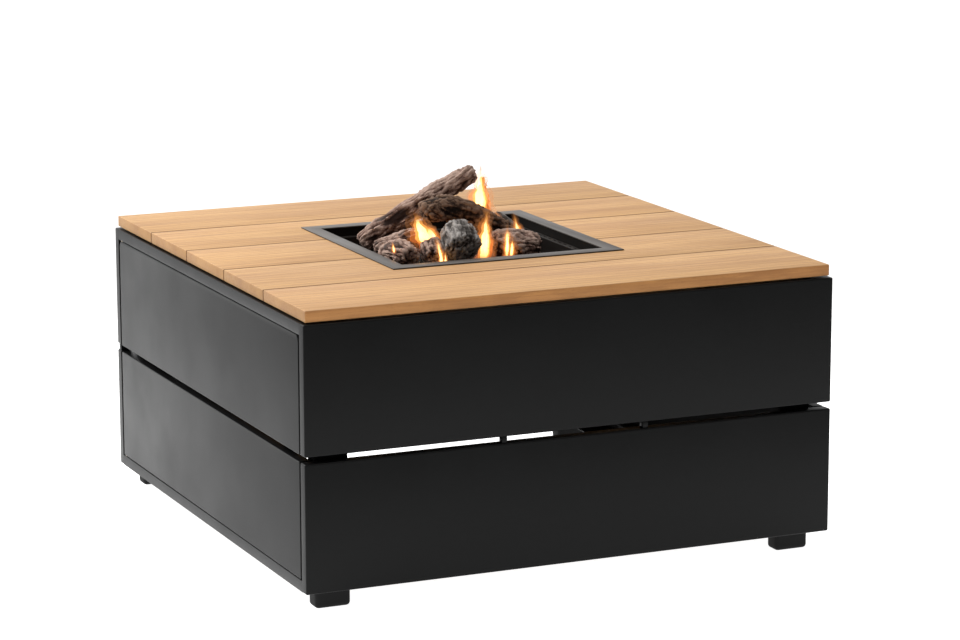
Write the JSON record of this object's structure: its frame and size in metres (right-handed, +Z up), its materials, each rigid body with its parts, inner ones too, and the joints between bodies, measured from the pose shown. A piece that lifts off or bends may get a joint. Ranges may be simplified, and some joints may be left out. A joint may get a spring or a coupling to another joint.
{
  "type": "gas fire table with log grate",
  "caption": "Square gas fire table with stacked sheet-metal shells, a plank top, a sunken burner with a grate and logs, and a side door.",
  "frame": {"origin": "on the ground under the middle of the table", "axes": "+Z up, +X towards the side with the controls, -Y towards the front, -X towards the door"},
  "size_m": [1, 1, 0.654],
  "materials": {
    "powder_coat": "satin black powder coat on folded steel sheet",
    "inside_coat": "matt black coated steel",
    "teak": "oiled teak, grain along each plank",
    "rubber": "black moulded rubber",
    "burner_black": "dark grey-black heat-proof coat, satin",
    "steel": "stainless steel, heat-tinted near the flames",
    "brass": "machined brass",
    "black_plastic": "black moulded plastic",
    "white_ceramic": "white glazed insulator with a steel tip",
    "lava": "porous dark lava stone",
    "ash_ceramic": "cast ceramic fibre log, ash grey",
    "charred_ceramic": "cast ceramic fibre log, charred",
    "bark_ceramic": "cast ceramic fibre log, brown bark"
  },
  "bodies": {
    "table": {"air_mixer": "brass", "batten_left_inner": "teak", "batten_left_outer": "teak", "batten_right_inner": "teak", "batten_right_outer": "teak", "burner_frame": "burner_black", "burner_pan": "burner_black", "burner_tube": "steel", "catch_magnet": "black_plastic", "control_recess": "burner_black", "corner_post_back_left": "inside_coat", "corner_post_back_right": "inside_coat", "corner_post_front_left": "inside_coat", "corner_post_front_right": "inside_coat", "flame_probe": "brass", "foot_back_left": "rubber", "foot_back_right": "rubber", "foot_front_left": "rubber", "foot_front_right": "rubber", "gas_pipe": "steel", "gas_valve": "brass", "igniter_barrel": "black_plastic", "igniter_lead": "rubber", "left_base_rail": "powder_coat", "left_top_rail": "powder_coat", "lower_back_panel": "powder_coat", "lower_front_panel": "powder_coat", "lower_right_panel": "powder_coat", "pivot_pin_base": "steel", "pivot_pin_top": "steel", "plank_1": "teak", "plank_2": "teak", "plank_3_left": "teak", "plank_3_right": "teak", "plank_4": "teak", "plank_5": "teak", "right_base_rail": "powder_coat", "right_top_rail": "powder_coat", "spark_electrode": "white_ceramic", "upper_back_panel": "powder_coat", "upper_front_panel": "powder_coat", "upper_right_panel": "powder_coat"},
    "door": {"door_upper_panel": "powder_coat", "door_lower_panel": "powder_coat", "door_stile_front": "inside_coat", "door_stile_back": "inside_coat", "catch_plate": "steel"},
    "valve_stem": {"valve_stem": "steel"},
    "control_knob": {"control_knob": "black_plastic"},
    "igniter_button": {"igniter_button": "steel"},
    "grate_and_logs": {"grate": "steel", "lava_stone_bed": "lava", "log_back": "ash_ceramic", "log_cross": "charred_ceramic", "log_left_back": "bark_ceramic", "log_left_front": "bark_ceramic", "log_long": "bark_ceramic", "log_right": "bark_ceramic", "log_short": "bark_ceramic", "log_stump": "ash_ceramic"}
  },
  "joints": [
    {"name": "door_swing", "type": "hinge", "parent": "table", "child": "door", "pos_m": [-0.493, 0.467, 0.2545], "axis": [0, 0, 1], "range_deg": [-100, 0]},
    {"name": "knob_press", "type": "slide", "parent": "table", "child": "valve_stem", "axis": [-1, 0, 0], "range_m": [0, 0.003], "stiffness_N_per_m": 500},
    {"name": "knob_turn", "type": "hinge", "parent": "valve_stem", "child": "control_knob", "pos_m": [0.48, -0.325, 0.37375], "axis": [1, 0, 0], "range_deg": [0, 180]},
    {"name": "igniter_press", "type": "slide", "parent": "table", "child": "igniter_button", "axis": [-1, 0, 0], "range_m": [0, 0.004], "stiffness_N_per_m": 400},
    {"name": "grate_lift", "type": "slide", "parent": "table", "child": "grate_and_logs", "axis": [0, 0, 1], "range_m": [0, 0.12]}
  ]
}
